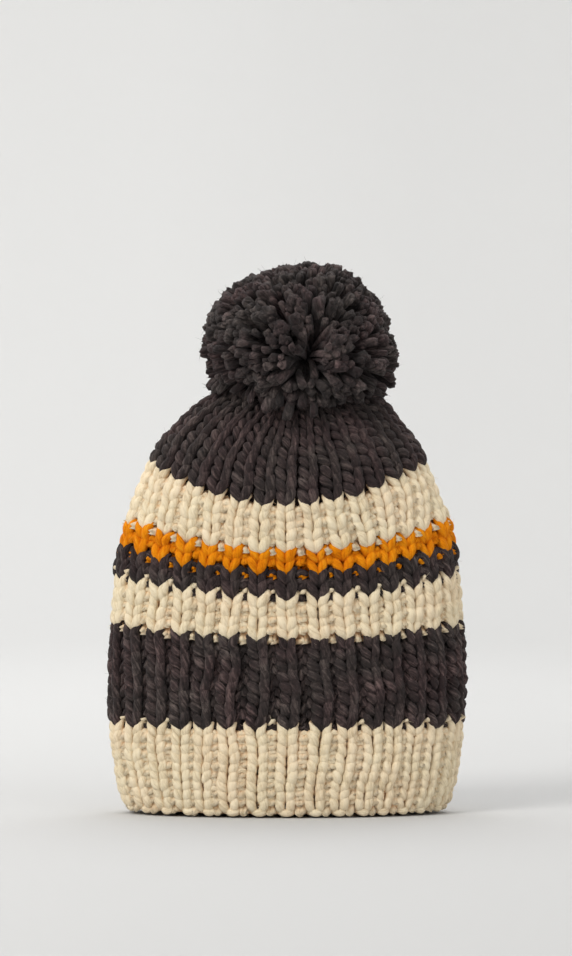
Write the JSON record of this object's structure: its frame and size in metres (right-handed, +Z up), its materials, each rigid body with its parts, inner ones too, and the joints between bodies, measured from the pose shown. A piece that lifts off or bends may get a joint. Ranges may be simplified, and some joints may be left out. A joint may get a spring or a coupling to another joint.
{
  "type": "pom pom beanie",
  "caption": "Chunky ribbed knitted hat with horizontal stripes, a gathered crown and a round yarn pompom tied on top.",
  "frame": {"origin": "centre of the head opening, level with the lower edge of the brim", "axes": "+Z up through the crown, front of the hat faces -Y, the wide direction of the hat is along X"},
  "size_m": [0.2206, 0.108, 0.3353],
  "materials": {
    "cream_yarn": "soft low-twist chunky wool blend yarn, matt",
    "charcoal_yarn": "soft low-twist chunky wool blend yarn, matt, brownish charcoal",
    "mustard_yarn": "soft low-twist chunky wool blend yarn, matt",
    "label_ribbon": "plain woven satin ribbon, blank"
  },
  "bodies": {
    "hat": {"brim_band": "cream_yarn", "wide_charcoal_band": "charcoal_yarn", "lower_cream_band": "cream_yarn", "narrow_charcoal_band": "charcoal_yarn", "mustard_band": "mustard_yarn", "upper_cream_band": "cream_yarn", "crown_panel": "charcoal_yarn", "crown_draw_cord": "charcoal_yarn", "back_seam_yarn": "cream_yarn"},
    "label": {"care_label": "label_ribbon"},
    "knot": {"inside_knot": "charcoal_yarn"},
    "tie": {"tie_shank": "charcoal_yarn"},
    "pompom": {"tie_tail_left": "charcoal_yarn", "tie_tail_right": "charcoal_yarn", "binding_yarn": "charcoal_yarn", "pompom_front_half": "charcoal_yarn", "pompom_back_half": "charcoal_yarn"}
  },
  "joints": [
    {"name": "pompom_sway", "type": "hinge", "parent": "hat", "child": "knot", "pos_m": [0.008, 0, 0.262], "axis": [0, 1, 0], "range_deg": [-10, 10]},
    {"name": "pompom_nod", "type": "hinge", "parent": "knot", "child": "tie", "pos_m": [0.008, 0, 0.262], "axis": [1, 0, 0], "range_deg": [-12, 12]},
    {"name": "pompom_twist", "type": "hinge", "parent": "tie", "child": "pompom", "pos_m": [0.008, 0, 0.262], "axis": [0, 0, 1], "range_deg": [-25, 25]},
    {"name": "label_flap", "type": "hinge", "parent": "hat", "child": "label", "pos_m": [0.0032, 0.0252, 0.04], "axis": [0, 0, 1], "range_deg": [-60, 5]}
  ]
}
